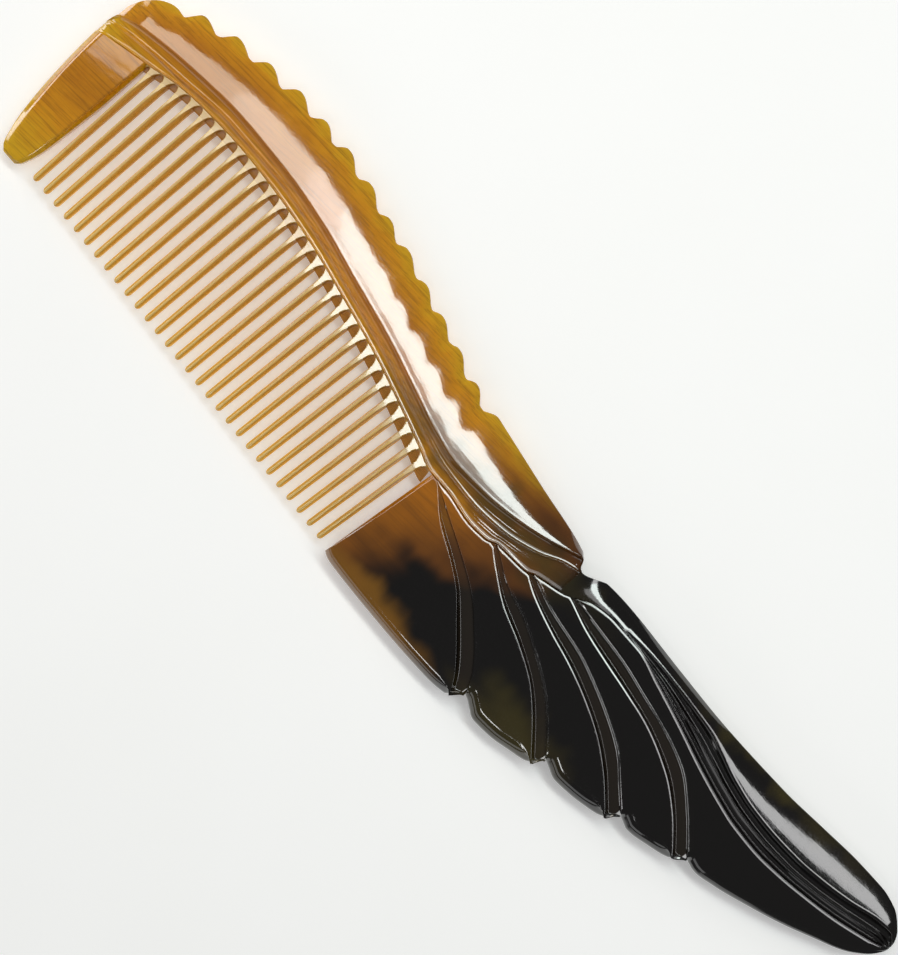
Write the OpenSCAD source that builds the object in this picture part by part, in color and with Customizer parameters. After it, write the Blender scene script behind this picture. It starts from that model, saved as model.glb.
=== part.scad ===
// Carved horn comb: a scalloped crest, a fluted stem, 29 sawn teeth with a guard tooth in front,
// a plain heel behind them, and a handle carved as a spray of overlapping leaves.
// It lies flat on Z = 0, the handle points along +X and the teeth point along -Y.
// The carving is the same on both faces, mirrored about the middle of the blank's thickness.

/* [Comb] */
// Length over all, from the guard tooth to the end of the handle
comb_length = 185; // [140:1:230]
// Width over all, from the heel to the top of the scallops
comb_width = 44.6; // [34:0.2:56]
// Thickness of the horn blank, reached at the crest ridge, the heel and the leaves
blank_thickness = 5.5; // [4.5:0.1:7.5]

/* [Teeth] */
// Number of sawn teeth between the guard tooth and the heel
tooth_count = 29; // [20:1:35]
// Width of a tooth where it leaves the root bar
tooth_width = 1.2; // [0.9:0.05:1.5]
// Width of a tooth at its rounded tip
tooth_tip_width = 1; // [0.7:0.05:1.2]
// Width of the narrow flat that runs down the middle of each tooth
tooth_ridge_width = 0.3; // [0.2:0.05:0.6]
// Thickness of the teeth and the root bar at the roots
tooth_root_thickness = 3.6; // [2.8:0.1:4.4]
// Thickness of the teeth at the tips
tooth_tip_thickness = 1.6; // [1:0.1:2.4]
// Height of the root bar above the first slot, next to the guard tooth
root_bar_front = 1.1; // [0.8:0.1:2.5]
// Height of the root bar above the last slot, next to the heel
root_bar_rear = 2.1; // [0.8:0.1:3]

/* [Crest and stem] */
// Thickness left at the scalloped edge
crest_edge_thickness = 1.6; // [1:0.1:2.4]
// Depth of the flute under the crest ridge, below each face of the blank
flute_depth = 0.9; // [0.4:0.05:1.2]
// Depth of the fine bead in the middle of the flute, below each face of the blank
bead_depth = 0.6; // [0.2:0.05:0.8]

/* [Handle] */
// Depth of the gouge cuts between the leaves
gouge_depth = 0.8; // [0.4:0.05:1.2]
// Thickness left at the rounded outer edges of the leaves
leaf_edge_thickness = 2.6; // [1.6:0.1:3.6]
// Thickness at the very end of the handle
handle_end_thickness = 2; // [1.4:0.1:3]
// Width of the rounded lower edge of the heel
heel_edge_round = 1.2; // [0.6:0.1:2]

/* [Hidden] */
$fn = 48;
LEAST_GAP = 0.05;
half = blank_thickness / 2;
leaf_edge_half = leaf_edge_thickness / 2;

// The outline and the carved lines are drawn on a comb of this size, with X from the guard tooth
// and Y from the bottom of the heel, and are stretched to the length and width asked for.
drawn_length = 185;
drawn_width = 44.6;
stretch = [comb_length / drawn_length, comb_width / drawn_width];

// Distance along X between the cross-sections of the carved pieces
slice = 0.75;

// Upper outline in front of the scallops, round the shoulder above the guard tooth
shoulder = [[0, 29.6], [0.2, 31], [0.6, 32.9], [1.1, 34.5], [1.9, 36.1], [2.9, 37.3], [3.9, 38.1],
            [5.2, 38.7], [6, 38.8], [7.4, 38.6]];
// The hand-filed scallops: the bottom of each dip, then the top of the hump behind it
scallops = [[[7.4, 38.6], [9.5, 41.2]], [[13.1, 40.5], [15.3, 42.9]], [[19.3, 41.9], [21.5, 43.9]],
            [[25.4, 42.6], [27.6, 44.6]], [[31.6, 43.1], [33.5, 44.5]], [[37.2, 42.9], [39.1, 44.3]],
            [[43.3, 42.4], [45.1, 43.3]], [[49.5, 41.3], [51, 42]], [[54.8, 40.3], [56.2, 41]],
            [[60.8, 39.1], [62, 39.6]], [[66.1, 37.7], [67.3, 38.3]], [[71.6, 36.4], [72.8, 36.9]],
            [[77.2, 34.7], [78.7, 35.4]], [[82.2, 33.4], [84.9, 34.5]]];
// How full a hump's front side is, and how hollow its long back side is
hump_front = 0.86;
hump_back = 1.3;
// Upper outline behind the scallops: the plain edge, the thumb notch and the top of the handle
top_edge = [[84.9, 34.5], [97, 32.6], [108.8, 30.7], [109.6, 30], [110.2, 28.8], [111, 28.5],
            [112.8, 29.2], [115, 30.3], [119, 30.5], [132, 29.9], [143, 29.5], [156, 29.8],
            [165, 30.6], [172, 31.2], [177, 31.3], [180.5, 30.7], [183.4, 28.8], [184.5, 27.5],
            [185, 26.6]];

// Each notch in the lower edge: the corner of one leaf, the top of the notch, the start of the next
notches = [[[111.2, 0.7], [113, 2.9], [116.8, 1.2]], [[127.2, 3.3], [128.6, 5.5], [131.8, 4.5]],
           [[140.8, 6.3], [142.4, 8.5], [144.8, 7.8]], [[152.4, 9.9], [154, 11.7], [156.3, 11.3]]];
// Lower edge of the heel, and one stretch for each leaf, between the notches
heel_belly = [[82.7, 1.2], [83.8, 0.7], [87, 0.4], [93, 0.15], [101, 0], [107, 0.1]];
leaf_bellies = [[[120, 1.4], [124, 2.3]], [[135, 4.8], [138, 5.4]], [[149, 8.7]],
                [[160, 12.1], [166, 14.1], [171, 16], [176, 18.3], [180.3, 20.4], [182.8, 22.4],
                 [184.3, 24.3], [185, 25.6]]];

// Ridge of the crest, the fine bead under it, and the root line that the teeth hang from
crest_ridge = [[0, 31.2], [5, 32.8], [15, 34.4], [25, 35.2], [35, 34.9], [45, 33.8], [55, 31.8],
               [65, 29.8], [75, 27.2], [80, 25.9], [86, 25], [92, 25.3], [98, 26.3], [104, 28],
               [109, 29.9], [111, 30.4]];
bead = [[0, 29.6], [5, 30.7], [15, 32.1], [25, 33.2], [35, 33.1], [45, 32.1], [55, 30.2], [65, 28.2],
        [75, 25.6], [86, 23.1], [92, 22.8], [98, 23.4], [104, 25.2], [108, 27.3], [111, 28.2]];
root_line = [[0, 27.2], [5, 28.5], [10, 29.7], [15, 31], [20, 31.6], [28, 31.9], [36, 31.5], [45, 30.5],
             [55, 28.7], [65, 26.6], [75, 23.9], [80, 22.4], [84.7, 21.1], [88, 21.1], [94, 20.4],
             [97.5, 20.7], [99.3, 21.5], [105, 22], [106.4, 22.7], [112, 24.4], [113.4, 25.4]];

// Gouge cuts between the heel and the leaves, each with its lower and its upper edge
gouges = [
    [[[86, 21.1], [91, 17.4], [96, 14.9], [100, 12.6], [103.5, 9.6], [109.6, 3.9], [111.6, 1.2]],
     [[86, 21.1], [91, 18.9], [97, 16.3], [102, 13.8], [106, 10.8], [111.5, 5.6], [113, 2.9]]],
    [[[98.6, 21.2], [102, 19], [107, 16.2], [112.3, 14.3], [117.6, 11.9], [121.4, 9.2], [127.4, 3.7]],
     [[99.3, 21.5], [105, 18.6], [110, 17.2], [115, 15.1], [120.5, 12.3], [124, 9.7], [128.6, 5.5]]],
    [[[105.5, 22.2], [109, 20.7], [114.6, 19.1], [120, 17.9], [125, 16.4], [131, 13.9], [136, 10.8],
      [141, 6.7]],
     [[106.4, 22.7], [112, 21.1], [120, 19.9], [125, 18.5], [131, 16.3], [135, 14.3], [139, 11.2],
      [142.4, 8.5]]],
    [[[112.8, 24.6], [118, 23.2], [123, 22.4], [129, 21.6], [134, 20.8], [141.7, 18.2], [147, 15],
      [152.5, 10.2]],
     [[113.3, 25], [120, 24.5], [125, 24.1], [131, 23.1], [137, 22], [143, 20.2], [149, 16.1],
      [154, 11.7]]]];
// Upper edge of the end leaf, then the bead and the ridge of the rib that runs along the handle
rib_low = [[113.3, 25.3], [115.7, 26.6], [120, 27.3], [125, 27.3], [131, 26], [138, 24.3],
           [145, 22.4], [150, 21.3], [155, 20.5], [160, 20.3], [165, 20.7], [170, 21.5],
           [175, 22.5], [180, 23.9], [183, 24.9], [185, 25.85]];
rib_bead = [[122, 27.5], [131, 26.9], [138, 25.8], [145, 24.3], [150, 23.2], [155, 22.4],
            [160, 22.1], [165, 22.3], [170, 23], [175, 24.1], [180, 25.4], [183, 26.1], [185, 26.1]];
rib_ridge = [[122, 27.8], [128, 28.2], [134, 28], [138, 27.7], [142, 27.3], [145, 26.5],
             [150, 25.1], [155, 24.3], [160, 24.1], [165, 24.3], [170, 25], [175, 26.1],
             [180, 27.6], [183, 28], [185, 26.35]];

// Thickness of the blank along the comb as a share of its full thickness
head_profile = [[0, 0.5], [5, 0.85], [14, 1], [98, 1], [106, 0.85], [111, 0.75]];
handle_profile = [[86, 0.98], [150, 0.98], [170, 0.9], [181, 0.7],
                  [185, handle_end_thickness / blank_thickness]];

// Guard tooth: its front and rear edges, each as an X for a Y
guard_front = [[4.4, 4.5], [5.4, 3.5], [7.2, 2.8], [10, 2], [15, 1.1], [20, 0.5], [25, 0.1], [27.2, 0]];
guard_rear = [[4.4, 7], [5.2, 7.8], [8.8, 8.7], [14, 9.1], [20, 9.4], [30, 9.4]];
guard_top = 9.4;
// Front edge of the heel, which leans like the last teeth
heel_front = [[1.2, 82.7], [21.1, 84.7]];

// The sawn teeth fan in a little: the X of the first and last one at the roots and at the tips
root_span = [10.7, 82];
tip_span = [10.9, 80.4];
tip_line = [[10.9, 5], [80.4, 1.6]];

// Where the stem gives way to the handle, and where the handle's rib begins
stem_end = 110.7;
rib_start = 122;

tooth_names = [for (k = [1:tooth_count]) str("tooth_", k < 10 ? "0" : "", k)];
leaf_names = ["leaf_1", "leaf_2", "leaf_3", "end_leaf"];

// A smooth curve through points, with no overshoot: each point's tangent is the harmonic mean of
// the slopes on either side, and level where they change sign.
function slope(p, i) = (p[i + 1][1] - p[i][1]) / (p[i + 1][0] - p[i][0]);
function tangent(p, i) =
    i == 0 ? slope(p, 0) :
    i == len(p) - 1 ? slope(p, i - 1) :
    let (a = slope(p, i - 1), b = slope(p, i)) a * b <= 0 ? 0 : 2 * a * b / (a + b);
function span_of(p, x, i = 0) = i >= len(p) - 2 || x < p[i + 1][0] ? i : span_of(p, x, i + 1);
function along(p, x) =
    let (i = span_of(p, x), w = p[i + 1][0] - p[i][0], u = min(max((x - p[i][0]) / w, 0), 1))
    p[i][1] * (1 + 2 * u) * (1 - u) ^ 2 + p[i + 1][1] * u ^ 2 * (3 - 2 * u)
    + w * (tangent(p, i) * u * (1 - u) ^ 2 - tangent(p, i + 1) * u ^ 2 * (1 - u));

function ease(u) = u ^ 2 * (3 - 2 * u);
function blend(a, b, u) = a + (b - a) * u;
function within(low, y, high) = min(max(y, low), high);
function reversed(list) = [for (i = [len(list) - 1:-1:0]) list[i]];

// Drawn X and Y, and a height above the middle of the blank, to a place on the comb
function place(x, y) = [x * stretch.x - comb_length / 2, y * stretch.y - comb_width / 2];
function raised(x, y, height) = [each place(x, y), half + height];

// Cross-section stations from one X to another, on multiples of the slice so that neighbours agree
function stations(from, to) =
    let (inner = [for (i = [ceil((from + LEAST_GAP) / slice):floor((to - LEAST_GAP) / slice)]) i * slice])
    [from, each inner, to];

// Upper outline, scallops included
function scallop(x, k = 0) =
    let (low = scallops[k][0], high = scallops[k][1])
    x <= high.x ? blend(low.y, high.y, ease(((x - low.x) / (high.x - low.x)) ^ hump_front)) :
    let (next = scallops[k + 1][0])
    x <= next.x ? blend(high.y, next.y, ease(((x - high.x) / (next.x - high.x)) ^ hump_back)) :
    scallop(x, k + 1);
function top(x) =
    x < scallops[0][0].x ? along(shoulder, x) :
    x < top_edge[0].x ? scallop(x) : along(top_edge, x);

// Lower outline of the heel and the leaves: the bellies joined by the notches
function notch(n) =
    [n[0], n[0] + [0.6, 0.9], n[1] - [0.4, 0.3], n[1], blend(n[1], n[2], 0.6), n[2]];
bottom_edge = concat(heel_belly, [for (i = [0:3]) each concat(notch(notches[i]), leaf_bellies[i])]);
function bottom(x) = along(bottom_edge, x);

function root_bar_height(x) =
    blend(root_bar_front, root_bar_rear, (x - root_span[0]) / (root_span[1] - root_span[0]));
function slot_line(x) = along(root_line, x) - root_bar_height(x) / stretch.y;

function head_half(x) = half * along(head_profile, x);
function handle_half(x) = half * along(handle_profile, x);

// A carved piece between two X stations. section(x) gives the points of its upper face from low Y
// to high Y, each as [Y, height above the middle]; the lower face mirrors them.
module carved(from, to, section) {
    xs = stations(from, to);
    n = len(section(from));
    m = 2 * n;
    rings = [for (x = xs) let (s = section(x)) concat(
        [for (p = s) raised(x, p[0], p[1])], [for (p = reversed(s)) raised(x, p[0], -p[1])])];
    walls = [for (i = [0:len(xs) - 2], j = [0:m - 1])
        let (a = i * m + j, b = i * m + (j + 1) % m) each [[a, b, b + m], [a, b + m, a + m]]];
    last = (len(xs) - 1) * m;
    first_cap = [for (j = [0:n - 2]) each [[j, m - 1 - j, m - 2 - j], [j, m - 2 - j, j + 1]]];
    last_cap = [for (j = [0:n - 2]) each
        [[last + j, last + m - 2 - j, last + m - 1 - j], [last + j, last + j + 1, last + m - 2 - j]]];
    polyhedron(points = [for (r = rings) each r], faces = concat(walls, first_cap, last_cap));
}

// A convex facet that falls from a ridge at full height to a thin edge
facet_steps = [0, 0.35, 0.7, 0.9, 1];
facet_curve = 1.7;
function facet(low, high, ridge, edge) =
    [for (u = facet_steps) [blend(low, high, u), blend(ridge, edge, u ^ facet_curve)]];

module crest() {
    crest_start = 0.7;
    crest_end = 109.4;
    color("#c28a1c") carved(crest_start, crest_end, function(x)
        let (low = along(crest_ridge, x), high = max(top(x), low + LEAST_GAP))
        facet(low, high, head_half(x), min(crest_edge_thickness / 2, head_half(x))));
}

// Two flutes with the bead between them: the lower one starts at a small step above the root line
module stem() {
    step_share = 0.12;
    step_height = 0.15;
    lower_floor = 0.6;
    upper_floor = 0.4;
    extra_depth = 0.1;
    color("#a35c14") carved(0, stem_end, function(x)
        let (low = along(root_line, x), high = min(along(crest_ridge, x), top(x)), full = head_half(x),
             middle = within(low + 2 * LEAST_GAP, along(bead, x), high - 2 * LEAST_GAP),
             deep = max(full - flute_depth, full / 2))
        [[low, min(tooth_root_thickness / 2, deep)],
         [blend(low, middle, step_share), deep + step_height],
         [blend(low, middle, lower_floor), deep - extra_depth],
         [middle, max(full - bead_depth, deep)],
         [blend(middle, high, upper_floor), deep],
         [high, full]]);
}

// The solid bar of horn above the ends of the saw slots
module root_bar() {
    xs = stations(guard_top, heel_front[1][1]);
    slot_xs = stations(guard_top, along(heel_front, slot_line(heel_front[1][1])));
    outline = concat([for (x = xs) place(x, along(root_line, x))],
                     [for (x = reversed(slot_xs)) place(x, slot_line(x))]);
    color("#bd7f26") translate([0, 0, half - tooth_root_thickness / 2])
        linear_extrude(tooth_root_thickness) polygon(outline);
}

// A flat prism that thins towards -Y, from the root thickness at one Y to the tip thickness at another
module thinning(root_y, tip_y) {
    over = 2;
    growth = (tooth_root_thickness - tooth_tip_thickness) / 2 / (root_y - tip_y);
    root_half = tooth_root_thickness / 2 + growth * over;
    tip_half = tooth_tip_thickness / 2 - growth * over;
    translate([-comb_length, 0, half]) rotate([90, 0, 90]) linear_extrude(2 * comb_length)
        polygon([[tip_y - over, -tip_half], [root_y + over, -root_half],
                 [root_y + over, root_half], [tip_y - over, tip_half]]);
}

module guard_tooth() {
    ys = [for (y = [4.4, 4.8, 5.2, 6, each [7:1.5:26.5]]) y];
    front = [for (y = ys) place(along(guard_front, y), y)];
    rear = [for (y = reversed(ys)) place(along(guard_rear, y), y)];
    head = [for (x = stations(0, guard_top)) place(x, along(root_line, x))];
    color("#c27d1a") intersection() {
        linear_extrude(blank_thickness) polygon(concat(front, head, rear));
        thinning(place(0, root_line[0][1]).y, place(0, ys[0]).y);
    }
}

// One sawn tooth: its plan, its taper in thickness and its six-sided section, cut from each other
module tooth(k) {
    share = (k - 1) / (tooth_count - 1);
    root_x = blend(root_span[0], root_span[1], share);
    tip_x = blend(tip_span[0], tip_span[1], share);
    root = place(root_x, slot_line(root_x));
    tip = place(tip_x, along(tip_line, tip_x));
    side = tooth_width / 2 / stretch.x;
    round_end = [for (a = [180:22.5:360])
        tip + tooth_tip_width / 2 * [cos(a), 1 + sin(a)]];
    lean = atan2(tip.x - root.x, root.y - tip.y);
    flank = tooth_width / 2 + 0.1;
    over = 2;
    color("#c99a45") intersection() {
        linear_extrude(blank_thickness) polygon(concat(
            [place(root_x - side, slot_line(root_x - side))], round_end,
            [place(root_x + side, slot_line(root_x + side))]));
        thinning(root.y, tip.y);
        translate([root.x, root.y, half]) rotate([0, 0, lean]) translate([0, over, 0])
            rotate([90, 0, 0]) linear_extrude(root.y - tip.y + 2 * over) polygon([
                [-flank, 0], [-tooth_ridge_width / 2, -half], [tooth_ridge_width / 2, -half],
                [flank, 0], [tooth_ridge_width / 2, half], [-tooth_ridge_width / 2, half]]);
    }
}

// Both faces of a gouge cut, as prisms that reach past the upper edge of the cut
module gouge_cut(g) {
    past = 3;
    low = gouges[g][0];
    start = low[0].x;
    end = low[len(low) - 1].x;
    xs = stations(start, end);
    floor_half = half - gouge_depth;
    outline = concat([for (x = xs) place(x, along(low, x))],
                     [place(end + past, low[len(low) - 1].y - past)],
                     [for (x = reversed(xs)) place(x + past, along(gouges[g][1], x) + past)]);
    for (side = [0, 1])
        mirror([0, 0, side]) translate([0, 0, floor_half]) linear_extrude(half) polygon(outline);
}

// The heel's lower edge is chamfered on both faces, and its front edge stands square
module heel() {
    below = 1;
    upper = gouges[0][1];
    notch_x = notches[0][1].x;
    start = heel_front[0][1];
    back = place(0, 0).y;
    plan = concat(
        [for (x = stations(heel_front[1][1], upper[0].x)) place(x, along(root_line, x))],
        [for (x = stations(upper[0].x, notch_x)) place(x, along(upper, x))],
        [for (x = reversed(stations(start, notch_x - LEAST_GAP))) place(x, bottom(x))]);
    color("#3a2410") difference() {
        intersection() {
            linear_extrude(blank_thickness) polygon(plan);
            translate([-comb_length, 0, half]) rotate([90, 0, 90]) linear_extrude(2 * comb_length)
                polygon([[back - below, below - leaf_edge_half], [back, -leaf_edge_half],
                         [back + heel_edge_round, -half], [comb_width, -half], [comb_width, half],
                         [back + heel_edge_round, half], [back, leaf_edge_half],
                         [back - below, leaf_edge_half - below]]);
        }
        translate([0, 0, half]) gouge_cut(0);
    }
}

// A leaf runs from the upper edge of the gouge cut below it to the upper edge of the cut above it,
// and carries that cut. Past the notch, its lower side is the comb's own outline.
function leaf_low(i, x) = x < notches[i][1].x ? along(gouges[i][1], x) : bottom(x);
function leaf_high(i, x) =
    i == 3 ? along(rib_low, x) :
    x < gouges[i + 1][1][0].x ? along(root_line, x) : along(gouges[i + 1][1], x);
inner_drop = 0.2;
cut_edge_drop = 0.1;
cut_depth_share = 0.6;
function leaf_section(i, x) =
    let (low = leaf_low(i, x), high = max(leaf_high(i, x), low + 4 * LEAST_GAP), full = handle_half(x),
         cut_edge = i == 3 ? high - LEAST_GAP : along(gouges[i + 1][0], x),
         cut = within(low + 2 * LEAST_GAP, cut_edge, high - LEAST_GAP),
         started = i == 3 || x > gouges[i + 1][0][0].x ? 1 : 0,
         deep = started * min(gouge_depth, cut_depth_share * (high - cut) * stretch.y),
         outer = x < notches[i][1].x ? full - inner_drop : min(leaf_edge_half, full))
    [[low, outer], [blend(low, cut, 0.25), full], [blend(low, cut, 0.8), full],
     [cut, full - cut_edge_drop], [blend(cut, high, 0.6), full - deep], [high, full - 0.8 * deep]];

module leaf(i) {
    from = gouges[i][1][0].x;
    to = i == 3 ? drawn_length : notches[i + 1][1].x;
    color("#1c1510") carved(from, to, function(x) leaf_section(i, x));
}

// A bead between two flutes, which grow shallow where the rib is narrow
module handle_rib() {
    flute_share = 0.4;
    bead_share = 0.6;
    color("#2b2018") carved(rib_start, drawn_length, function(x)
        let (low = along(rib_low, x), high = along(rib_ridge, x), full = handle_half(x),
             middle = within(low + LEAST_GAP, along(rib_bead, x), high - LEAST_GAP),
             deep = min(gouge_depth, flute_share * (high - low) * stretch.y))
        [[low, full - cut_edge_drop], [blend(low, middle, 0.5), full - deep],
         [middle, full - bead_share * deep], [blend(middle, high, 0.5), full - deep], [high, full]]);
}

module upper_leaf() {
    joined = rib_low[0].x;
    color("#241a12") carved(stem_end, drawn_length, function(x)
        let (edge = x < joined ? root_line : x < rib_start ? rib_low : rib_ridge,
             low = along(edge, x), full = handle_half(x))
        facet(low, top(x), full, min(leaf_edge_half, full)));
}

crest();
stem();
root_bar();
guard_tooth();
for (k = [1:tooth_count]) tooth(k);
heel();
for (i = [0:3]) leaf(i);
handle_rib();
upper_leaf();
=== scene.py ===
"""A carved horn comb: scalloped crest, fluted stem, sawn teeth and a handle cut as a spray of leaves."""
import math

import bpy
import numpy as np
from mathutils import Matrix, Vector


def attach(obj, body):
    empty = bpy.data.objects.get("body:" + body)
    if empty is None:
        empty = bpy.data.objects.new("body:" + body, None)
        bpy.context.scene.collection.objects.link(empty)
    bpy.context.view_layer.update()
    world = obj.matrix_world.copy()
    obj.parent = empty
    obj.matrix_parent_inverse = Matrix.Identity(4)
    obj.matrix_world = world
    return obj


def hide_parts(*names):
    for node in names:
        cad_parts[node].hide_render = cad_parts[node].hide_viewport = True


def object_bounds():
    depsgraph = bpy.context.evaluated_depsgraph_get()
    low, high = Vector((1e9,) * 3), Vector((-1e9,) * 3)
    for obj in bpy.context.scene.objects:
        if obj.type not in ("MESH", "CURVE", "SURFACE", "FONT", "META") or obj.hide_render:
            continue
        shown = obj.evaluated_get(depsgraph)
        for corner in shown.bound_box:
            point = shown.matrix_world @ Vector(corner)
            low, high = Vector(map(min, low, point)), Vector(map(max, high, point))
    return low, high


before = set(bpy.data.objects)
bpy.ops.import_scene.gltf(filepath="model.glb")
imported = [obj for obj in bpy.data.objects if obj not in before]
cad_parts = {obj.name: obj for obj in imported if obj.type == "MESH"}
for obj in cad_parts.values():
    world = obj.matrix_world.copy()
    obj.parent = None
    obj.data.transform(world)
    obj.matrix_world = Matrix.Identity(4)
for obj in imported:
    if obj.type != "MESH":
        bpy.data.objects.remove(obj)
cad_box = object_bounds()

# ---------------------------------------------------------------------------------------------
# The stem: the back of the comb, between the teeth and the crest. It is carved from the horn
# blank with two hollow flutes and a fine bead between them, alike on both faces, then polished.
# ---------------------------------------------------------------------------------------------
MM = 0.001
LOWEST, HIGHEST = (np.array(corner) / MM for corner in cad_box)
MIDDLE = HIGHEST[2] / 2
FRONT, REAR = LOWEST[0], HIGHEST[0]
STATION_GAP = 0.3
SHADING_GUARD = 0.06


def node_points(node):
    """The corners of a CAD node, one row each, in millimetres."""
    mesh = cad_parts[node].data
    flat = np.empty(3 * len(mesh.vertices))
    mesh.vertices.foreach_get("co", flat)
    return flat.reshape(-1, 3) / MM


def rails(node, lead=0, above=-1.0):
    """The stations of a CAD node along X (lead 0) or Y (lead 1), and its least and greatest place
    across at each of them, from the corners that lie above a height."""
    points = node_points(node)
    points = points[points[:, 2] > above]
    stations, group = np.unique(np.round(points[:, lead], 2), return_inverse=True)
    least, greatest = np.full(len(stations), np.inf), np.full(len(stations), -np.inf)
    np.minimum.at(least, group, points[:, 1 - lead])
    np.maximum.at(greatest, group, points[:, 1 - lead])
    return stations, least, greatest


def carved_rows(node, count):
    """A carved CAD node as its stations along X and, for each, the Y and the height above the middle
    of its count lines of carving. A station where two lines meet is left out."""
    points = node_points(node)
    points = points[points[:, 2] > MIDDLE]
    points = np.unique(np.round(points, 4), axis=0)
    stations, group = np.unique(np.round(points[:, 0], 2), return_inverse=True)
    order = np.lexsort((points[:, 1], group))
    whole = np.bincount(group) == count
    kept = points[order][whole[group[order]]].reshape(-1, count, 3)
    return stations[whole], kept[:, :, 1], kept[:, :, 2] - MIDDLE


def through(keys, values, places):
    """A smooth curve through values at keys, read at places. It is cubic between keys, and the slope
    at a key is the harmonic mean of the slopes beside it, so that it never swings past a value."""
    keys, values = np.asarray(keys, float), np.asarray(values, float)
    gap = np.diff(keys)
    rise = np.diff(values) / gap
    product = rise[:-1] * rise[1:]
    total = np.where(product > 0, rise[:-1] + rise[1:], 1)
    slope = np.concatenate([rise[:1], np.where(product > 0, 2 * product / total, 0), rise[-1:]])
    i = np.clip(np.searchsorted(keys, places, side="right") - 1, 0, len(gap) - 1)
    u = np.clip((places - keys[i]) / gap[i], 0, 1)
    ends = values[i] * (1 + 2 * u) * (1 - u) ** 2 + values[i + 1] * u ** 2 * (3 - 2 * u)
    return ends + gap[i] * (slope[i] * u * (1 - u) ** 2 - slope[i + 1] * u ** 2 * (1 - u))


def ease(value, low, high):
    """0 below low, 1 above high, and a smooth S between them."""
    u = np.clip((value - low) / (high - low), 0, 1)
    return u * u * (3 - 2 * u)


def section(*knots, arc=6):
    """The cross-sections of a carved strip, for all its stations at once. A knot is (place across,
    height, round): straight lines join the knots, and at each inner knot a parabola takes over from
    the lines at the distance called round. A row just past each end of an arc of 4 rows or more
    keeps its shading off the flat beside it. Returns places and heights, stations by rows."""
    knots = [np.stack(np.broadcast_arrays(*map(np.asarray, knot)), -1) for knot in knots]
    points, rounds = [knot[..., :2] for knot in knots], [knot[..., 2:] for knot in knots]
    rows = [points[0]]
    for before, corner, after, reach in zip(points, points[1:], points[2:], rounds[1:]):
        def off_corner(end, distance):
            way = end - corner
            length = np.maximum(np.linalg.norm(way, axis=-1, keepdims=True), 1e-6)
            return corner + way * np.minimum(0.5, distance / length)
        first, last = off_corner(before, reach), off_corner(after, reach)
        turn = [(1 - t) ** 2 * first + 2 * t * (1 - t) * corner + t * t * last
                for t in np.linspace(0, 1, arc)]
        if arc > 3:
            guard = reach + SHADING_GUARD
            turn = [off_corner(before, guard), *turn, off_corner(after, guard)]
        rows += turn
    rows.append(points[-1])
    grid = np.stack(np.broadcast_arrays(*rows), 1)
    return grid[..., 0], grid[..., 1]


def horn_solid(node, finish, x, y, height, accent=0.0, smooth_angle=50):
    """A closed solid for a CAD node from its upper face, grids of X, Y and height above the middle
    with X growing along the first axis and Y along the second. The lower face mirrors the upper one,
    and walls join the two faces all round. Each vertex keeps its height as the attribute depth, and
    a mask for the finish's tints: 1 on the flats of the teeth and root bar, painted paler as a
    highlight, and on the floors of the gouge cuts, tinted dark brown; 0 on the slot ramps of the root
    bar, painted darker as shade."""
    x, y, height, accent = np.broadcast_arrays(x, y, height, accent)
    size = x.size
    upper = np.stack([x, y, MIDDLE + height], -1).reshape(-1, 3)
    lower = np.stack([x, y, MIDDLE - height], -1).reshape(-1, 3)
    index = np.arange(size).reshape(x.shape)
    face = np.stack([index[:-1, :-1], index[1:, :-1], index[1:, 1:], index[:-1, 1:]], -1).reshape(-1, 4)
    border = np.concatenate([index[:-1, 0], index[-1, :-1], index[:0:-1, -1], index[0, :0:-1]])
    after = np.roll(border, -1)
    walls = np.stack([border + size, after + size, after, border], -1)
    quads = np.concatenate([face, face[:, ::-1] + size, walls])
    mesh = bpy.data.meshes.new(node)
    mesh.vertices.add(2 * size)
    mesh.vertices.foreach_set("co", (np.concatenate([upper, lower]) * MM).ravel())
    mesh.loops.add(quads.size)
    mesh.loops.foreach_set("vertex_index", quads.astype(np.int32).ravel())
    mesh.polygons.add(len(quads))
    mesh.polygons.foreach_set("loop_start", np.arange(0, quads.size, 4, dtype=np.int32))
    mesh.update(calc_edges=True)
    for name, values in (("depth", height), ("accent", accent)):
        attribute = mesh.attributes.new(name, "FLOAT", "POINT")
        attribute.data.foreach_set("value", np.tile(values.ravel(), 2).astype(np.float32))
    mesh.shade_smooth()
    mesh.set_sharp_from_angle(angle=math.radians(smooth_angle))
    mesh.validate()
    piece = bpy.data.objects.new("carved_" + node, mesh)
    bpy.context.scene.collection.objects.link(piece)
    mesh.materials.append(finish)
    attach(piece, "root")
    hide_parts(node)
    return piece


class Wire:
    """One output of a node in a finish. Arithmetic on it adds Math nodes."""

    def __init__(self, finish, socket):
        self.finish, self.socket = finish, socket

    def worked_out(self, operation, first, second):
        return self.finish.node("ShaderNodeMath", {"operation": operation}, {0: first, 1: second})

    def __add__(self, other):
        return self.worked_out("ADD", self, other)

    def __sub__(self, other):
        return self.worked_out("SUBTRACT", self, other)

    def __rsub__(self, other):
        return self.worked_out("SUBTRACT", other, self)

    def __mul__(self, other):
        return self.worked_out("MULTIPLY", self, other)

    def __pow__(self, other):
        return self.worked_out("POWER", self, other)

    __radd__ = __add__
    __rmul__ = __mul__


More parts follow.
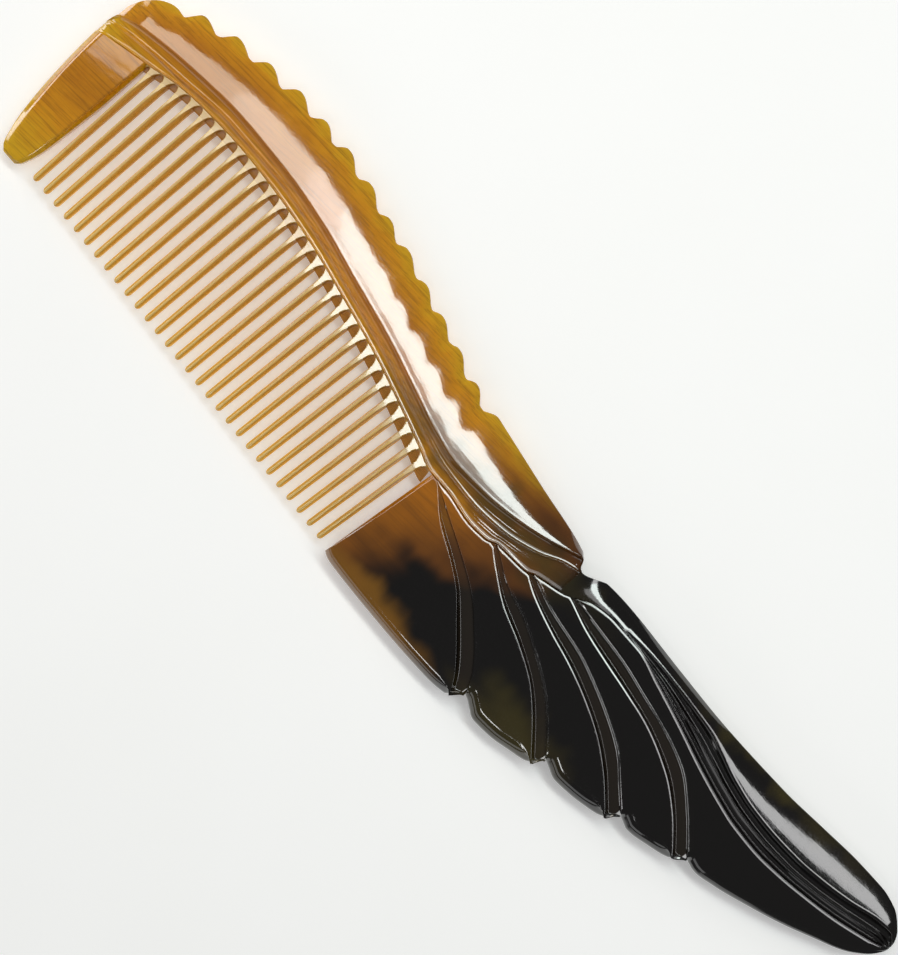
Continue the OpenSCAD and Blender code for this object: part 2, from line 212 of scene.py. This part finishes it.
class Finish:
    """A material under construction: node() adds one node of any type, the rest are short forms."""

    def __init__(self, name):
        self.material = bpy.data.materials.new(name)
        self.material.use_nodes = True
        self.tree = self.material.node_tree
        self.tree.nodes.clear()

    def node(self, kind, settings=None, inputs=None, output=0):
        """A node of this type: first its settings, then the values or wires of its sockets."""
        made = self.tree.nodes.new(kind)
        for name, value in (settings or {}).items():
            if name == "stops":
                ramp = made.color_ramp.elements
                while len(ramp) < len(value):
                    ramp.new(0.5)
                for stop, (place, colour) in zip(ramp, value):
                    stop.position, stop.color = place, (*colour, 1)
            else:
                setattr(made, name, value)
        for name, value in (inputs or {}).items():
            if isinstance(value, Wire):
                self.tree.links.new(value.socket, made.inputs[name])
            else:
                made.inputs[name].default_value = value
        return Wire(self, made.outputs[output]) if made.outputs else None

    def coordinates(self, stretch=(1, 1, 1), turn=0.0):
        """Object coordinates in millimetres, turned about Z by degrees and then stretched."""
        place = self.node("ShaderNodeTexCoord", output="Object")
        turned = self.node("ShaderNodeVectorRotate", {"rotation_type": "Z_AXIS"},
                           {"Vector": place, "Angle": math.radians(turn)})
        scale = tuple(part / MM for part in stretch)
        return self.node("ShaderNodeVectorMath", {"operation": "MULTIPLY"}, {0: turned, 1: scale})

    def part(self, vector, axis):
        """X, Y or Z of a vector, by its number."""
        return self.node("ShaderNodeSeparateXYZ", {}, {0: vector}, output=axis)

    def noise(self, vector, scale, detail=3.0, roughness=0.55, distortion=0.0):
        """A cloudy value from 0 to 1, with scale in features per millimetre."""
        return self.node("ShaderNodeTexNoise", {}, {
            "Vector": vector, "Scale": scale, "Detail": detail, "Roughness": roughness,
            "Distortion": distortion})

    def ramp(self, value, low, high, to_low=0.0, to_high=1.0):
        """value from low..high to to_low..to_high along a smooth S, held at both ends."""
        return self.node("ShaderNodeMapRange", {"interpolation_type": "SMOOTHSTEP"}, {
            "Value": value, "From Min": low, "From Max": high, "To Min": to_low, "To Max": to_high})

    def blend(self, mask, first, second, mode="MIX"):
        """One colour over another by a mask from 0 to 1."""
        first, second = (c if isinstance(c, Wire) else (*c, 1) for c in (first, second))
        return self.node("ShaderNodeMix", {"data_type": "RGBA", "blend_type": mode},
                         {0: mask, 6: first, 7: second}, output=2)

    def patch(self, x, y, centre, reach, edge=0.5):
        """1 inside an oval patch given by its centre and half sizes in millimetres, fading outside."""
        across, up = (x - centre[0]) * (1 / reach[0]), (y - centre[1]) * (1 / reach[1])
        return self.ramp((across * across + up * up) ** 0.5, 1 - edge, 1 + edge, 1.0, 0.0)

    def larger(self, first, second):
        """The larger of two values."""
        return self.node("ShaderNodeMath", {"operation": "MAXIMUM"}, {0: first, 1: second})

    def output(self, shader):
        self.node("ShaderNodeOutputMaterial", {}, {"Surface": shader})
        return self.material


THIN_AMBER, AMBER, DEEP_AMBER = (0.74, 0.43, 0.014), (0.72, 0.30, 0.010), (0.50, 0.165, 0.008)
PALE_AMBER, FIBRE_BROWN, GOLDEN_BROWN = (0.62, 0.40, 0.12), (0.24, 0.085, 0.008), (0.30, 0.13, 0.012)
BLOT_BROWN, CLEAR_HORN = (0.20, 0.065, 0.012), (1.0, 0.78, 0.34, 1)
BROWN_HORN, BLACK_HORN, OLIVE_HORN = (0.15, 0.050, 0.007), (0.0035, 0.0028, 0.0025), (0.055, 0.042, 0.008)
# How far the patches stray along and across the comb, and how much sooner thick horn turns dark
STRAY_ALONG, STRAY_ACROSS, THICK_LEAD = 16, 7, 3
HORN_IOR, POLISH_IOR, WAVE_DEPTH = 1.55, 1.5, 0.1 * MM


def horn(name, see_through=0.0, pale=0.0, painted_shade_colour=None, highlight_and_cut_tint=None, highlight_and_cut_share=0.8):
    """Polished horn. Its amber deepens with the thickness of the horn, fine fibres run along the
    comb, and warped dark patches take over towards the handle. A clear polish lies over it, with
    small waves and pores that break up the reflections. see_through lets light pass, with some brown
    blots on the last teeth, and pale lightens the amber. Two tints follow the mesh's mask: painted
    shade where it is 0, on the slot ramps of the root bar, and where it is 1 a painted highlight on
    the flats of the teeth and root bar, and on the dark horn a dark brown on the gouge floors."""
    finish = Finish(name)
    place = finish.coordinates()
    warp = finish.noise(finish.coordinates((1, 2.2, 2.2)), 0.09, 1.5, 0.5)
    warp_up = finish.noise(finish.coordinates((1, 2.2, 2.2), 90), 0.11, 1.5, 0.5)
    x = finish.part(place, 0) + (warp - 0.5) * STRAY_ALONG
    y = finish.part(place, 1) + (warp_up - 0.5) * STRAY_ACROSS
    accent = finish.node("ShaderNodeAttribute", {"attribute_name": "accent"}, output="Fac")
    fibres = finish.noise(finish.coordinates((0.10, 2.4, 2.4), -4), 1.0, 4.0, 0.65, 0.3)
    mottle = finish.noise(finish.coordinates((0.6, 1, 1)), 0.55, 5.0, 0.62)
    depth = finish.node("ShaderNodeAttribute", {"attribute_name": "depth"}, output="Fac")
    thick = finish.ramp(depth + (mottle - 0.5) * 0.9, 0.5, 2.7)
    amber = finish.node("ShaderNodeValToRGB", {"stops": [
        (0.0, THIN_AMBER), (0.45, AMBER), (1.0, DEEP_AMBER)]}, {0: thick})
    if pale:
        amber = finish.blend(pale, amber, PALE_AMBER)
    amber = finish.blend(finish.ramp(fibres, 0.42, 0.72, 0.0, 0.55), amber, FIBRE_BROWN)
    front = x + 0.9 * finish.larger(-1 - y, 0)
    darkening = front + thick * THICK_LEAD
    brown = finish.ramp(darkening, -8, 15)
    black = finish.ramp(darkening, 11, 21)
    heel_dark = finish.patch(x, y, (12, -15.5), (17, 4.6), 0.45)
    heel_light = finish.patch(x, y, (0, -21.5), (11, 3.0), 0.6)
    olive = finish.patch(x, y, (30, -18), (9, 4), 0.7)
    edge_olive = finish.patch(x, y, (60, 8.5), (16, 2.2), 0.8) + finish.patch(x, y, (-2, 3), (20, 3), 0.8)
    colour = finish.blend(brown, amber, BROWN_HORN)
    colour = finish.blend(black, colour, BLACK_HORN)
    colour = finish.blend(heel_dark, colour, BLACK_HORN)
    colour = finish.blend(heel_light * 0.7, colour, GOLDEN_BROWN)
    colour = finish.blend((olive + edge_olive) * 0.75, colour, OLIVE_HORN)
    if see_through:
        rear_teeth = finish.patch(x, y, (-14, -12), (13, 7), 0.5)
        blot = finish.ramp(finish.noise(finish.coordinates((0.8, 0.5, 1)), 0.6, 3.0), 0.48, 0.6)
        colour = finish.blend(rear_teeth * blot * 0.7, colour, BLOT_BROWN)
    # Painted shade: the slot ramps of the root bar, where the mask is 0, are darkened.
    if painted_shade_colour:
        colour = finish.blend((1 - accent) * 0.75, colour, painted_shade_colour)
    # Painted highlight: the flats of the teeth and root bar, where the mask is 1, are lightened; on the dark
    # horn the gouge floors are tinted dark brown.
    if highlight_and_cut_tint:
        colour = finish.blend(accent * highlight_and_cut_share, colour, highlight_and_cut_tint)
    waves = finish.noise(place, 0.35, 2.0, 0.5)
    grit = finish.noise(finish.coordinates((1, 1, 1)), 3.2, 3.0, 0.6)
    streaks = finish.noise(finish.coordinates((0.5, 5, 5), 20), 1.4, 2.0, 0.5)
    bump = finish.node("ShaderNodeBump", {}, {
        "Height": waves * 0.6 + grit * 0.05 + streaks * 0.04, "Strength": 0.5, "Distance": WAVE_DEPTH})
    rough = finish.ramp(grit, 0.35, 0.7, 0.07, 0.13)
    shader = finish.node("ShaderNodeBsdfPrincipled", {}, {
        "Base Color": colour, "Roughness": rough, "IOR": HORN_IOR, "Coat Weight": 1.0,
        "Coat Roughness": 0.04, "Coat IOR": POLISH_IOR, "Normal": bump})
    if see_through:
        clear = finish.node("ShaderNodeBsdfTransparent", {}, {"Color": CLEAR_HORN})
        shader = finish.node("ShaderNodeMixShader", {}, {
            0: (1 - accent * 0.7) * see_through, 1: shader, 2: clear})
    return finish.output(shader)


def stations_between(start, end, gap=STATION_GAP):
    """Evenly spaced places from start to end."""
    return np.linspace(start, end, max(2, round((end - start) / gap) + 1))


FRONT_ROUND = 1.6


def rounded_front(x):
    """How much of its height the head keeps near its front edge, where it is rounded over."""
    return 0.3 + 0.7 * np.sqrt(1 - (1 - np.clip((x - FRONT) / FRONT_ROUND, 0, 1)) ** 2)


ROOT_HEIGHT = 1.4
keys, lines, heights = carved_rows("stem", 6)
stem_x = stations_between(keys[0], keys[-1])
root, bead, ridge = (through(keys, lines[:, row], stem_x) for row in (0, 3, 5))
full = through(keys, heights[:, 5], stem_x)
scale = full / MIDDLE
across, raised = section(
    (root, ROOT_HEIGHT * scale, 0),
    (root + 0.22, (ROOT_HEIGHT + 0.26) * scale, 0.14),
    (root + 0.42 * (bead - root), 1.42 * scale, 0.3 * (bead - root)),
    (bead - 0.22, 1.86 * scale, 0.14),
    (bead, 2.08 * scale, 0.13),
    (bead + 0.24, 1.84 * scale, 0.14),
    (bead + 0.42 * (ridge - bead), 1.68 * scale, 0.3 * (ridge - bead)),
    (ridge - 0.34, 2.35 * scale, 0.25),
    (ridge - 0.10, full, 0.10),
    (ridge, full, 0))
amber_horn = horn("polished_amber_horn")
horn_solid("stem", amber_horn, stem_x[:, None], across,
           raised * rounded_front(stem_x)[:, None])

# ---------------------------------------------------------------------------------------------
# The crest: a long facet that rolls from the ridge of the stem down to a thin outer edge, which is
# filed into a row of scallops. The file leaves a short hollow behind each dip.
# ---------------------------------------------------------------------------------------------
RIM_REACH = 0.45
FIRST_SLOPE = 0.11


def facet(low, high, uncut, top_height, rim_height, slope=FIRST_SLOPE, rows=14):
    """Knots of a facet from a ridge to its rim: the fall is the first slope times the distance, and
    what is left of the height at the uncut edge times the share of the way there to the power 2.2.
    The rim is cut back from the uncut edge to its own place and rounded."""
    width, reach, drop = high - low, uncut - low, top_height - rim_height
    straight = np.minimum(slope * reach, 0.6 * drop)

    def height(u):
        way = u * width / reach
        return top_height - straight * way - (drop - straight) * way ** 2.2

    knots = [(low, top_height, 0), (low + np.minimum(0.12, 0.1 * width), top_height, 0.12)]
    knots += [(low + u * width, height(u), 0.05) for u in np.linspace(0.06, 0.96, rows)]
    return knots + [(high, height(1), RIM_REACH), (high, 0.12, 0)]


keys, lines, heights = carved_rows("crest", 5)
crest_x = stations_between(keys[0], keys[-1], 0.25)
low, top = (through(keys, lines[:, row], crest_x) for row in (0, 4))
full, rim = (through(keys, heights[:, row], crest_x) for row in (0, 4))
top = np.maximum(top, low + 0.05)
humps = np.flatnonzero((top[1:-1] > top[:-2]) & (top[1:-1] >= top[2:])) + 1
envelope = np.maximum(np.interp(crest_x, crest_x[humps], top[humps]), top)
envelope = np.where(crest_x > crest_x[humps[-1]], top, envelope)
envelope += (top - envelope) * 0.75 * ease(crest_x, FRONT + 52, FRONT + 66)
across, raised = section(*facet(low, top, envelope, full, rim), arc=3)
horn_solid("crest", amber_horn, crest_x[:, None], across,
           raised * rounded_front(crest_x)[:, None])

# ---------------------------------------------------------------------------------------------
# The root bar: the solid horn above the saw slots. Each slot runs out in a rounded ramp, painted a
# darker brown as shade, and the flat of each tooth widens between two ramps into a small bright
# triangle, painted paler as a highlight.
# ---------------------------------------------------------------------------------------------
TOOTH_WIDTH, TIP_WIDTH, TOOTH_FLAT, ROOT_FLAT = 1.2, 1.0, 0.24, 0.84
SLOT_WALL = 0.45
TOOTH_LEAN = 0.04
TOOTH_REACH = 25
teeth = sorted(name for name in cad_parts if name.startswith("tooth_"))


def tooth_ends(node):
    """The middle of a CAD tooth's root and of its tip, as (X, Y) pairs in millimetres."""
    points = node_points(node)
    top, low = points[:, 1].max(), points[:, 1].min()
    tip = points[points[:, 1] < low + 0.02].mean(0)
    near_root = points[points[:, 1] > top - 0.6]
    near_root = near_root[near_root[:, 1] > near_root[:, 1].max() - 0.45]
    return ((near_root[:, 0].min() + near_root[:, 0].max()) / 2, top), (tip[0], low)


roots, tips = (np.array(side) for side in zip(*(tooth_ends(node) for node in teeth)))


HOLLOW_REACH, HOLLOW_END, TIP_HEIGHT = 8, 2.02, 0.75


def crown(below, length):
    """Height of the flats of the teeth at a distance below the root line. A hollow along the root
    line lifts to its highest some 5 mm down, and the teeth then thin evenly to their tips."""
    hollow = through([0, 1, 2, 4, 5.5, HOLLOW_REACH], [ROOT_HEIGHT, 1.6, 1.77, 2.02, 2.08, HOLLOW_END], below)
    way = (below - HOLLOW_REACH) / np.maximum(length - HOLLOW_REACH, 1)
    return np.where(below < HOLLOW_REACH, hollow, HOLLOW_END - (HOLLOW_END - TIP_HEIGHT) * way)


def soft_min(first, second, reach):
    """The smaller of two heights, with the edge between them rounded over reach."""
    near = np.clip(0.5 + 0.5 * (second - first) / reach, 0, 1)
    return second + (first - second) * near - reach * near * (1 - near)


root_keys, least, root_line = rails("root_bar")
bar_start, bar_end = root_keys[0], root_keys[-1]
has_slot = least < root_line - 0.3
slot_keys, slot_line = root_keys[has_slot], least[has_slot]


def slot_y(x):
    return through(slot_keys, slot_line, x)


def root_y(x):
    return through(root_keys, root_line, x)


share = np.linspace(0, 1, 15)[None, :]
bar_x = stations_between(bar_start, bar_end, 0.08)[:, None] + 0 * share
bar_low, bar_high = slot_y(bar_x), root_y(bar_x)
rise = share ** 0.9 * (bar_high - bar_low)
bar_y = bar_low + rise
edges_left = np.concatenate([[bar_start], roots[:, 0] + TOOTH_WIDTH / 2])
edges_right = np.concatenate([roots[:, 0] - TOOTH_WIDTH / 2, [bar_end - 0.2]])
which = np.searchsorted(roots[:, 0], bar_x - TOOTH_LEAN * rise)
slot_middle = (edges_left + edges_right)[which] / 2 + TOOTH_LEAN * rise
slot_half = (edges_right - edges_left)[which] / 2
up_slot = np.clip(rise / (bar_high - bar_low), 0, 1)
ramp_half = slot_half * np.sqrt(1 - up_slot ** 2)
flats = crown(bar_high - bar_y, TOOTH_REACH)
ramp_height = SLOT_WALL + (ROOT_HEIGHT - 0.1 - SLOT_WALL) * up_slot ** 1.2
steepness = (flats - SLOT_WALL) / (TOOTH_WIDTH / 2 - ROOT_FLAT / 2)
side_height = ramp_height + steepness * np.maximum(0, np.abs(bar_x - slot_middle) - ramp_half)
# The teeth's finish paints their flats paler and yellower as a highlight, and lets less light through there.
tooth_horn = horn("clear_tooth_horn", see_through=0.72, pale=0.35, highlight_and_cut_tint=(0.86, 0.66, 0.26))
# The root bar's finish paints shade on its slot ramps and a highlight on its flats and triangles.
root_horn = horn("root_bar_horn", see_through=0.45, pale=0.15, painted_shade_colour=(0.44, 0.15, 0.05),
                 highlight_and_cut_tint=(0.62, 0.42, 0.14))
# The mask is 1 on the flats, where the highlight is painted, and 0 in the slots, where the shade is painted.
horn_solid("root_bar", root_horn, bar_x, bar_y, soft_min(flats, side_height, 0.12),
           ease(side_height, 0.8 * flats, flats), 60)

# ---------------------------------------------------------------------------------------------
# The sawn teeth: each is chamfered along both sides to a narrow flat, thins towards its tip, and
# ends round. The saw leaves a low upright wall below each chamfer.
# ---------------------------------------------------------------------------------------------
for node, root_end, tip_end in zip(teeth, roots, tips):
    reach = root_end[1] - tip_end[1]
    tip_round = TIP_WIDTH * 0.7
    down = np.concatenate([np.linspace(0, 1, 46)[:-1] ** 1.25 * (reach - tip_round),
                           reach - tip_round * (1 - np.sin(np.linspace(0, math.pi / 2, 9)))])[::-1]
    along = down / reach
    root_here = root_y(root_end[0])
    below = root_here - root_end[1] + down
    ending = np.sqrt(np.clip(1 - (np.clip(down - (reach - tip_round), 0, None) / tip_round) ** 2, 0, 1))
    half = (TOOTH_WIDTH + (TIP_WIDTH - TOOTH_WIDTH) * along) / 2 * (0.03 + 0.97 * ending)
    flat = np.minimum(TOOTH_FLAT / 2 + (ROOT_FLAT - TOOTH_FLAT) / 2 * np.exp(-down / 1.5), 0.75 * half)
    height = crown(below, root_here - tip_end[1]) * (0.25 + 0.75 * ending)
    wall = np.minimum(SLOT_WALL, 0.6 * height) * (0.3 + 0.7 * ending)
    out, raised = section((-half, 0.5 * wall, 0), (-half, wall, 0.1), (-flat, height, 0.07),
                          (flat, height, 0.07), (half, wall, 0.1), (half, 0.5 * wall, 0), arc=5)
    middle = root_end[0] + (tip_end[0] - root_end[0]) * along
    x = middle[:, None] + out
    slant = (slot_y(x) - slot_y(root_end[0])) * (1 - along[:, None]) ** 3
    y = slot_y(root_end[0]) - down[:, None] * (slot_y(root_end[0]) - tip_end[1]) / reach + slant
    # on_flat marks each tooth's flat, where its highlight is painted.
    on_flat = ease(raised / np.maximum(height, 0.1)[:, None], 0.86, 0.97)
    horn_solid(node, tooth_horn, x.T, y.T, raised.T, on_flat.T, 60)

# ---------------------------------------------------------------------------------------------
# The guard tooth: the broad first tooth that protects the others. Its front edge carries a
# bevel, and it is as thin as the teeth at its tip.
# ---------------------------------------------------------------------------------------------
stem_keys, stem_low, _ = rails("stem")
keys, least, greatest = rails("guard_tooth", lead=1)
guard_tip, guard_shoulder = keys[0], stem_low[0]
below_root = keys < guard_shoulder + 0.01
keys, least, greatest = keys[below_root], least[below_root], greatest[below_root]
greatest = np.where(greatest - least < 1, bar_start, greatest)
v = np.concatenate([0.05 * (1 - np.cos(np.linspace(0, math.pi / 2, 10))), np.linspace(0.05, 1, 70)[1:]])
drawn_y = guard_tip + v * (guard_shoulder - guard_tip)
front = np.maximum(through(keys, least, drawn_y), FRONT)
back = through(keys, greatest, drawn_y)
ending = np.sqrt(1 - (1 - np.clip((drawn_y - guard_tip) / 1.1, 0, 1)) ** 2)
height = crown(guard_shoulder - drawn_y, guard_shoulder - guard_tip)
height += 0.45 * (ROOT_HEIGHT + 0.3 - height) * ease(drawn_y, guard_shoulder - 8, guard_shoulder - 2)
height *= 0.2 + 0.8 * ending
wall = np.minimum(0.62, 0.6 * height)
out, raised = section(
    (front, 0.4 * wall, 0), (front, wall, 0.3), (front + 1.15, height, 0.45),
    (front + 0.55 * (back - front), height + 0.03, 1.0), (back - 0.5, height, 0.3),
    (back, wall, 0.25), (back, 0.4 * wall, 0))
share = v[:, None]
head_y = through(stem_keys, stem_low, np.clip(out, FRONT, bar_start))
y = guard_tip + share * (head_y - guard_tip)
horn_solid("guard_tooth", amber_horn, out.T, y.T, raised.T)

# ---------------------------------------------------------------------------------------------
# The heel: the plain block behind the teeth. Its front edge is bevelled where the saw passed, its
# lower edge is rounded, and the first gouge cut between the leaves runs across its top.
# ---------------------------------------------------------------------------------------------
LEAF_EDGE, GOUGE_DEPTH = 1.3, 0.8
FINE_REACH, FINE_GAP = 1.2, 0.06


def gouge_floor(width):
    """Depth of a gouge cut by its width: a narrow cut is shallow."""
    return np.minimum(GOUGE_DEPTH, 0.62 * np.maximum(width, 0.02))


def gouge(cut, high, full):
    """Knots of a gouge cut from its lower edge to its upper one: a narrow bevelled lip that catches
    the light, a steep wall, and a level floor."""
    width = np.maximum(high - cut, 0.02)
    deep = gouge_floor(width)
    return [(cut - 0.32, full - 0.01, 0.1), (cut + 0.02, full - 0.068, 0.05),
            (cut + 0.24 * width, full - deep, 0.06 * width), (high, full - 0.98 * deep, 0)]


keys, lines, _ = carved_rows("leaf_1", 6)
rail_x, bottom_y, _ = rails("heel")
notch_x = rail_x[-1]
lower_edge = bottom_y < bottom_y[0] + 5
rail_x, bottom_y = rail_x[lower_edge], bottom_y[lower_edge]
cut_x, _, cut_y = rails("heel", above=2 * MIDDLE - 0.01)
heel_front_x, heel_corner_x = rail_x[0], bar_end
base = np.concatenate([
    stations_between(0, FINE_REACH, FINE_GAP)[:-1], stations_between(FINE_REACH, notch_x - heel_corner_x)])
straighten = ease(base, 0, 12)
foot_x = heel_corner_x + base + (heel_front_x - heel_corner_x) * (1 - straighten)
head_x = heel_corner_x + base
low = through(rail_x, bottom_y, foot_x)
leaf_low = through(keys, lines[:, 0], head_x)
stem_root = through(stem_keys, stem_low, head_x)
high = np.where(head_x < keys[0], stem_root, leaf_low)
high = np.maximum(high, low + 0.03)
cut = np.clip(np.where(head_x < keys[0], high, through(cut_x, cut_y, head_x)), low + 0.02, high - 0.01)
full = np.full_like(base, MIDDLE)
edge = np.minimum(LEAF_EDGE, 0.35 + 0.6 * (high - low))
across, raised = section(
    (low, 0.15, 0), (low, edge, 0.5), (low + np.minimum(1.1, 0.3 * (high - low)), full - 0.06, 0.7),
    (low + 0.5 * (cut - low), full, 1.0), *gouge(cut, high, full))
up = np.clip((across - low[:, None]) / np.maximum(high - low, 0.1)[:, None], 0, 1)
x = head_x[:, None] + (heel_front_x - heel_corner_x) * (1 - straighten[:, None]) * (1 - up)
bevel_width = 0.12 + 0.5 * ease(up, 0.0, 0.8)
bevel = MIDDLE - 0.75 * np.clip(1 - base[:, None] / bevel_width, 0, 1) ** 1.3 - 0.02
dark_horn = horn("polished_dark_horn", highlight_and_cut_tint=(0.035, 0.024, 0.014), highlight_and_cut_share=0.4)
in_cut = (across > cut[:, None] + 0.1) * ease(MIDDLE - raised, 0.15, 0.5)
horn_solid("heel", dark_horn, x, across, soft_min(raised, bevel, 0.05), in_cut)

# ---------------------------------------------------------------------------------------------
# The leaves: four overlapping blades cut side by side into the handle. Each is a low crowned
# face between two gouge cuts, and its outer end rolls over into the notched lower edge.
# ---------------------------------------------------------------------------------------------
leaves = ["leaf_1", "leaf_2", "leaf_3", "end_leaf"]
END_ROUND = 2.0


def rounded_end(x):
    """How much of its height the handle keeps near its end, where it is rounded over."""
    return 0.35 + 0.65 * np.sqrt(1 - np.clip((x - REAR + END_ROUND) / END_ROUND, 0, 1) ** 2)


previous_notch, previous_cut = notch_x, (head_x, high - cut)
for number, node in enumerate(leaves):
    keys, lines, heights = carved_rows(node, 6)
    x = stations_between(keys[0], keys[-1])
    low, cut, high = (through(keys, lines[:, row], x) for row in (0, 3, 5))
    full = through(keys, heights[:, 2], x)
    high = np.maximum(high, low + 0.04)
    width = high - low
    last = node == "end_leaf"
    outer = ease(x, previous_notch - 0.5, previous_notch + 0.7)
    side = (full - 0.98 * gouge_floor(np.interp(x, *previous_cut))) * (1 - outer) + 0.15 * outer
    lip = np.minimum(0.12, 0.1 * width) * (1 - outer)
    shoulder = (full - 0.1) * (1 - outer) + np.minimum(LEAF_EDGE, full) * outer
    inset = np.minimum(0.4, 0.2 * width) * (1 - outer) + np.minimum(1.3, 0.4 * width) * outer
    knots = [(low, side, 0), (low + lip, shoulder, 0.14 + 0.4 * outer),
             (low + lip + inset, full - 0.04 - 0.1 * outer, 0.25 + 0.5 * outer),
             (low + 0.55 * (cut - low), full, 0.25 * (cut - low))]
    if last:
        knots += [(high - np.minimum(0.3, 0.2 * width), full - 0.03, 0.2), (high, full - 0.12, 0)]
    else:
        knots += gouge(np.minimum(cut, high - 0.02), high, full)
    across, raised = section(*knots)
    in_cut = (across > cut[:, None] + 0.1) * ease(full[:, None] - raised, 0.15, 0.5) * (not last)
    horn_solid(node, dark_horn, x[:, None], across, raised * rounded_end(x)[:, None], in_cut)
    previous_notch, previous_cut = keys[-1], (x, high - cut)

# ---------------------------------------------------------------------------------------------
# The handle rib: a fine bead between two flutes, which runs along the handle and fades at its end.
# ---------------------------------------------------------------------------------------------
keys, lines, heights = carved_rows("handle_rib", 5)
x = stations_between(keys[0], keys[-1])
low, bead, high = (through(keys, lines[:, row], x) for row in (0, 2, 4))
full = through(keys, heights[:, 4], x)
deep = np.minimum(GOUGE_DEPTH, 0.42 * (high - low))
across, raised = section(
    (low, full - 0.12, 0), (low + 0.12, full - 0.16, 0.12),
    (low + 0.38 * (bead - low), full - deep, 0.1), (low + 0.68 * (bead - low), full - deep, 0.1),
    (bead - 0.16, full - 0.6 * deep, 0.1), (bead, full - 0.45 * deep, 0.1),
    (bead + 0.16, full - 0.6 * deep, 0.1),
    (bead + 0.3 * (high - bead), full - deep, 0.1), (bead + 0.62 * (high - bead), full - deep, 0.1),
    (high - np.minimum(0.3, 0.2 * (high - bead)), full - 0.12, 0.2), (high - 0.08, full, 0.08),
    (high, full, 0))
horn_solid("handle_rib", dark_horn, x[:, None], across, raised * rounded_end(x)[:, None])

# ---------------------------------------------------------------------------------------------
# The upper leaf: the back of the handle, from the thumb notch to the end. It rolls from the rib
# down to the thin upper edge.
# ---------------------------------------------------------------------------------------------
keys, lines, heights = carved_rows("upper_leaf", 5)
x = stations_between(keys[0], keys[-1])
low, top = (through(keys, lines[:, row], x) for row in (0, 4))
full, rim = (through(keys, heights[:, row], x) for row in (0, 4))
top = np.maximum(top, low + 0.1)
rim = full + (rim - full) * ease(x, x[0], x[0] + 7)
slope = FIRST_SLOPE * (0.25 + 0.75 * ease(x, x[0] + 3, x[0] + 22))
across, raised = section(*facet(low, top, top, full, rim, slope), arc=3)
horn_solid("upper_leaf", dark_horn, x[:, None], across, raised * rounded_end(x)[:, None])

# ---------------------------------------------------------------------------------------------
# The studio: a white table that glows a little, a long softbox over the crest side in lengths of
# its own brightness and tint, small panels on the other sides, and a camera that looks straight
# down with the comb lying across its view.
# ---------------------------------------------------------------------------------------------
CAMERA_PLACE, CAMERA_HEIGHT, CAMERA_TURN = (-5.75, 0.48), 300.0, 48.8
VIEW_HEIGHT = 145.8
TABLE_HALF = 8.0
TABLE_GLOW = 0.3


def studio_light(name, centre, size, radiance, colour=(1, 1, 1), aim=None):
    """A rectangular light at a place in millimetres that faces straight across to the comb's length,
    or towards the X given as aim. size is its length along X and its other side, and radiance sets
    how bright its face looks."""
    data = bpy.data.lights.new(name, "AREA")
    data.shape, data.size, data.size_y = "RECTANGLE", size[0] * MM, size[1] * MM
    data.energy = radiance * math.pi * data.size * data.size_y
    data.color = colour
    light = bpy.data.objects.new(name, data)
    away = Vector((centre[0] - (centre[0] if aim is None else aim), *centre[1:])).normalized()
    along_x = Vector((1, 0, 0))
    up = away.cross(along_x).normalized()
    axes = Matrix((up.cross(away), up, away)).transposed()
    light.matrix_world = Matrix.Translation(Vector(centre) * MM) @ axes.to_4x4()
    bpy.context.scene.collection.objects.link(light)
    return light


SOFTBOX = [(-380, -170, 3.6, (1.0, 0.93, 0.78)), (-170, -110, 5.4, (1.0, 0.94, 0.82)),
           (-110, -78, 7.2, (1.0, 0.96, 0.90)), (-78, 122, 10.0, (0.92, 1.0, 0.97)),
           (122, 380, 4.8, (1, 1, 1))]
for number, (start, end, radiance, colour) in enumerate(SOFTBOX):
    studio_light(f"softbox_{number}", ((start + end) / 2, 158, 400), (end - start, 68), radiance, colour)
studio_light("softbox_inner", (-110, 100, 415), (340, 50), 1.8)
studio_light("low_box", (56, -140, 420), (60, 40), 9.0)
studio_light("teeth_panel", (0, -640, 240), (700, 240), 0.8)
studio_light("side_panel", (-620, 0, 260), (260, 500), 4.5, aim=0)

table_finish = Finish("table_white")
grain = table_finish.noise(table_finish.coordinates(), 0.02, 3.0)
white = table_finish.blend(grain, (0.90, 0.90, 0.89), (0.93, 0.93, 0.93))
table_finish.output(table_finish.node("ShaderNodeBsdfPrincipled", {}, {
    "Base Color": white,
    "Roughness": 0.7, "Specular IOR Level": 0.2, "Emission Color": white,
    "Emission Strength": TABLE_GLOW}))
table = bpy.data.meshes.new("table")
corners = [(across * TABLE_HALF, up * TABLE_HALF, 0) for across, up in ((-1, -1), (1, -1), (1, 1), (-1, 1))]
table.from_pydata(corners, [], [(0, 1, 2, 3)])
table.materials.append(table_finish.material)
table_object = bpy.data.objects.new("table", table)
bpy.context.scene.collection.objects.link(table_object)

world = bpy.data.worlds.new("studio_air")
world.use_nodes = True
world.node_tree.nodes["Background"].inputs["Color"].default_value = (1, 1, 1, 1)
world.node_tree.nodes["Background"].inputs["Strength"].default_value = 0.1
bpy.context.scene.world = world
bpy.context.scene.view_settings.view_transform = "Standard"

camera_data = bpy.data.cameras.new("camera")
camera_data.sensor_fit = "VERTICAL"
camera_data.sensor_height = 36.0
camera_data.lens = 36.0 * (CAMERA_HEIGHT - MIDDLE) / VIEW_HEIGHT
camera_data.clip_start, camera_data.clip_end = 0.01, 20.0
camera = bpy.data.objects.new("camera", camera_data)
turn = math.radians(CAMERA_TURN)
camera.matrix_world = (Matrix.Translation(Vector((*CAMERA_PLACE, CAMERA_HEIGHT)) * MM)
                       @ Matrix.Rotation(turn, 4, "Z"))
bpy.context.scene.collection.objects.link(camera)
bpy.context.scene.camera = camera
